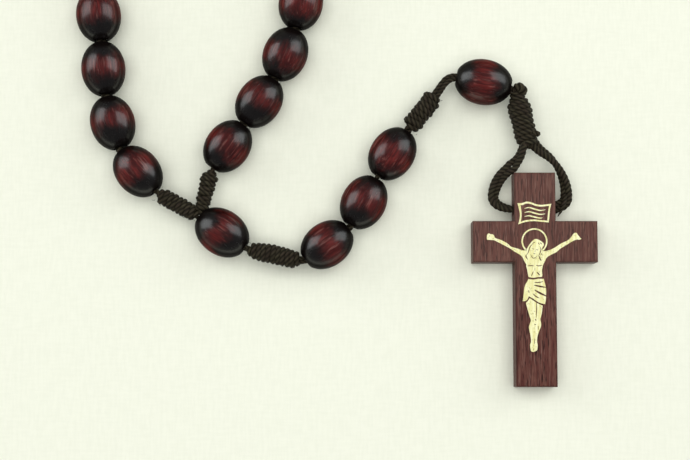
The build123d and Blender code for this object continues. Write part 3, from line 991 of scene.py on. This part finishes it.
def make_pendant_cord(material):
    """The doubled cord of the pendant: a straight piece through each bead and a bridge over each gap."""
    places = [joint_at[name] for name, _, _ in PENDANT] + [metres(CROSS_KNOT_END)]
    reach = BRIDGE * MM
    phase = 0.4
    for i, (_, body, node) in enumerate(PENDANT):
        if node:
            start, end = places[i], places[i + 1]
            along = (end - start).normalized()
            line = straight_line(start + along * reach * 0.8, end - along * reach * 0.8, 24)
            mesh = Mesh()
            add_doubled(mesh, line, PENDANT_STRAND, PENDANT_GAP, 0.4, phase + i, 40 + i, 16)
            stand_in(mesh.build("doubled_in_" + body, material), body, node)
    bodies = ["loop_near_junction"] + [body for _, body, _ in PENDANT]
    for i in range(1, len(PENDANT)):
        if "cord_stretch" in (bodies[i], bodies[i + 1]):
            continue
        before = (places[i - 1] - places[i]).normalized() * reach
        after = (places[i + 1] - places[i]).normalized() * reach
        line = bent_line(places[i] + before, places[i], places[i] + after, 20)
        mesh = Mesh()
        add_doubled(mesh, line, PENDANT_STRAND, PENDANT_GAP, 0.15, phase + i, 50 + i, 16)
        bridge = mesh.build("bridge_" + PENDANT[i][0], material)
        start, end = places[i] + before * 0.5, places[i] + after * 0.5
        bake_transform(bridge)
    make_junction_bridge(material)
    make_stretch(material)


def make_junction_bridge(material):
    """The loop's two strands, meeting and going into the centre bead together."""
    pivot = joint_at["pendant_swing"]
    into = (joint_at["knot_a_bend"] - pivot).normalized() * 2.0 * MM
    mesh = Mesh()
    for route, side in ((LEFT_STRAND_ROUTE, -1), (RIGHT_STRAND_ROUTE, 1)):
        back = (metres(route[1]) - pivot).normalized() * 1.6 * MM
        across = Vector((-into.y, into.x, 0)).normalized() * side * 0.36 * MM
        line = bent_line(pivot + back, pivot + across, pivot + into + across, 20)
        add_cord(mesh, line, PENDANT_STRAND, 16, 60 + side)
    bridge = mesh.build("bridge_junction", material)
    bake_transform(bridge)


def make_stretch(material):
    """The short free stretch of doubled cord between the second knot and the last bead, in two pieces that
    lap over each other in the middle."""
    near_knot, near_bead = joint_at["cord_stretch_bend"], joint_at["cross_bead_lift"]
    before = (joint_at["knot_b_bend"] - near_knot).normalized() * 1.4 * MM
    after = (joint_at["cross_knot_bend"] - near_bead).normalized() * 2.0 * MM
    route = [metres(p) for p in STRETCH_ROUTE]
    line = nurbs_line("stretch", [route[0] + before] + route + [route[-1] + after], 12)
    middle, lap = len(line) // 2, 5

    def piece(name, part, phase, first, second, start, end):
        mesh = Mesh()
        add_doubled(mesh, part, PENDANT_STRAND + 0.1, PENDANT_STRAND + 0.05, 0.1, phase, 61, 24)
        made = mesh.build(name, material)
        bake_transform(made)
        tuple(start)
        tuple(end)
        return made

    start, end = near_knot + before * 0.3, line[middle - lap - 1]
    half = piece("stretch_near_knot", line[:middle + lap], 0.0, "knot_b", "cord_stretch", start, end)
    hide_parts("cord_stretch")
    start, end = near_bead - after * 0.3, near_bead + after * 0.3
    piece("stretch_near_bead", line[middle - lap:], 0.2, "cord_stretch", "cross_bead_cord", start, end)


def make_cross_loop(material):
    """The doubled cord through the cross, out of the knot and back into it, with its frayed tail."""
    points = [metres(p) for p in CROSS_LOOP_ROUTE]
    line = nurbs_line("cross_loop_line", points, 30)
    rooted = nurbs_line("cross_loop_roots", [metres(LOOP_ROOTS[0])] + points + [metres(LOOP_ROOTS[1])], 30)
    share = np.linspace(0, 1, len(rooted))
    opened = np.exp(-((share - LOOP_OPENING) / 0.02) ** 2)
    gaps = LOOP_STRAND * (0.8 + 0.32 * opened)
    turns = 1.3
    mesh = Mesh()
    add_doubled(mesh, rooted, LOOP_STRAND, gaps, turns, math.pi * (1 - 2 * turns * LOOP_OPENING), 70, 26)
    add_tail(mesh, FRAYED_TAIL, 0.9, 75, taper=0.85)
    loop = mesh.build("doubled_cross_loop", material)
    stand_in(loop, "cross_knot", "cross_loop")
    declare_cord(line)


# ---- foil

def span(before, a, b, after):
    """Points from a to just before b, on a smooth line through all four."""
    points = []
    for k in range(OUTLINE_STEPS):
        t = k / OUTLINE_STEPS
        points.append(0.5 * (
            2 * a + (b - before) * t + (2 * before - 5 * a + 4 * b - after) * t * t
            + (3 * a - before - 3 * b + after) * t ** 3))
    return points


def smooth_outline(points):
    """A closed smooth outline through points; a third value marks a sharp corner."""
    n = len(points)
    outline = []
    for i in range(n):
        a, b = Vector(points[i][:2]), Vector(points[(i + 1) % n][:2])
        before = a if len(points[i]) > 2 else Vector(points[i - 1][:2])
        after = b if len(points[(i + 1) % n]) > 2 else Vector(points[(i + 2) % n][:2])
        outline += span(before, a, b, after)
    return outline


def stroke_outline(points, width):
    """A thin pointed stroke along a smooth line through points."""
    line = []
    for i in range(len(points) - 1):
        a, b = Vector(points[i]), Vector(points[i + 1])
        before = Vector(points[i - 1]) if i else 2 * a - b
        after = Vector(points[i + 2]) if i + 2 < len(points) else 2 * b - a
        line += span(before, a, b, after)
    line.append(Vector(points[-1]))
    left, right = [], []
    for i, p in enumerate(line):
        ahead = line[min(i + 1, len(line) - 1)] - line[max(i - 1, 0)]
        across = Vector((-ahead.y, ahead.x)).normalized()
        half = width / 2 * (0.25 + 0.75 * math.sin(math.pi * (i + 0.5) / len(line)))
        left.append(p + across * half)
        right.append(p - across * half)
    return left + right[::-1]


def slab(name, outlines, low, high):
    """An object of flat plates between two heights, in millimetres, one for each outline."""
    bm = bmesh.new()
    x, y = CROSS_CENTER_X + JUNCTION[0], JUNCTION[1]
    for outline in outlines:
        base = [bm.verts.new(((p.x + x) * MM, (p.y + y) * MM, low * MM)) for p in outline]
        face = bm.faces.new(base)
        grown = bmesh.ops.extrude_face_region(bm, geom=[face])
        top = [v for v in grown["geom"] if isinstance(v, bmesh.types.BMVert)]
        bmesh.ops.translate(bm, verts=top, vec=(0, 0, (high - low) * MM))
    bmesh.ops.recalc_face_normals(bm, faces=bm.faces)
    mesh = bpy.data.meshes.new(name)
    bm.to_mesh(mesh)
    bm.free()
    return link(bpy.data.objects.new(name, mesh))


def make_plate(name, node, outlines, cuts, material):
    """A piece of foil on the cross's front, with strokes cut out of it down to the wood."""
    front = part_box("cross")[1].z / MM
    plate = slab(name, outlines, front - FOIL_SINK, front + FOIL_THICKNESS)
    if cuts:
        cutter = slab(name + "_cuts", cuts, front - CUT_REACH, front + CUT_REACH)
        cut = plate.modifiers.new("cut", "BOOLEAN")
        cut.operation = "DIFFERENCE"
        cut.solver = "EXACT"
        cut.use_self = True
        cut.object = cutter
        bpy.context.view_layer.update()
        evaluated = plate.evaluated_get(bpy.context.evaluated_depsgraph_get())
        plate.data = bpy.data.meshes.new_from_object(evaluated)
        plate.modifiers.clear()
        bpy.data.objects.remove(cutter)
    plate.data.materials.clear()
    plate.data.materials.append(material)
    stand_in(plate, "cross", node)


def head_point(point):
    """A point of the bowed head, given across its face and down from its crown."""
    across, down = point
    x, y = HEAD_CROWN
    c, s = math.cos(math.radians(HEAD_TILT)), math.sin(math.radians(HEAD_TILT))
    return (x + across * c - down * s, y - across * s - down * c)


def halo_outline():
    """The halo's open ring, along its outside and back along its inside."""
    angles = np.linspace(*np.radians(HALO_ARC), 73)
    sides = ((HALO_RADIUS, angles), (HALO_RADIUS - HALO_WIDTH, angles[::-1]))
    x, y = HALO_CENTER
    return [Vector((x + r * math.cos(a), y + r * math.sin(a))) for r, side in sides for a in side]


def strokes(cuts):
    """The outlines of cuts, each given as a line and a width."""
    return [stroke_outline(points, width) for points, width in cuts]


def make_foil(material):
    """The plain banner, the halo and the figure, as thin stamped foil."""
    banner, opening = smooth_outline(BANNER_OUTER), smooth_outline(BANNER_INNER)
    make_plate("foil_banner", "foil_scroll", [banner], [opening], material)
    make_plate("foil_banner_rules", "foil_scroll", strokes(BANNER_RULES), [], material)
    make_plate("foil_ring", "foil_halo", [halo_outline()], [], material)
    head = strokes([([head_point(p) for p in points], width) for points, width in HEAD_CUTS])
    body, cloth, legs = (smooth_outline(o) for o in (BODY_OUTLINE, CLOTH_OUTLINE, LEGS_OUTLINE))
    make_plate("foil_body", "foil_figure", [body], strokes(BODY_CUTS) + head, material)
    make_plate("foil_cloth", "foil_figure", [cloth], strokes(CLOTH_CUTS), material)
    make_plate("foil_legs", "foil_figure", [legs], strokes(LEGS_CUTS), material)


# ---- everything

def main():
    """Build the scene."""
    make_camera()
    make_world()
    for name, (azimuth, elevation, watts) in SOFTBOXES.items():
        softbox(name, azimuth, elevation, watts)
    overhead_fill()
    make_floor()
    cord = cord_material()
    places = bead_places()
    make_strands(places, cord)
    make_pendant_cord(cord)
    make_cross_loop(cord)
    make_knots(cord)
    wood = bead_material()
    for number, (name, node, body, middle, direction) in enumerate(places):
        make_bead(name, node, body, middle, direction, number, wood)
    cross = frame["nodes"]["cross"]
    cross.data.materials.clear()
    cross.data.materials.append(cross_material())
    make_foil(foil_material())


main()
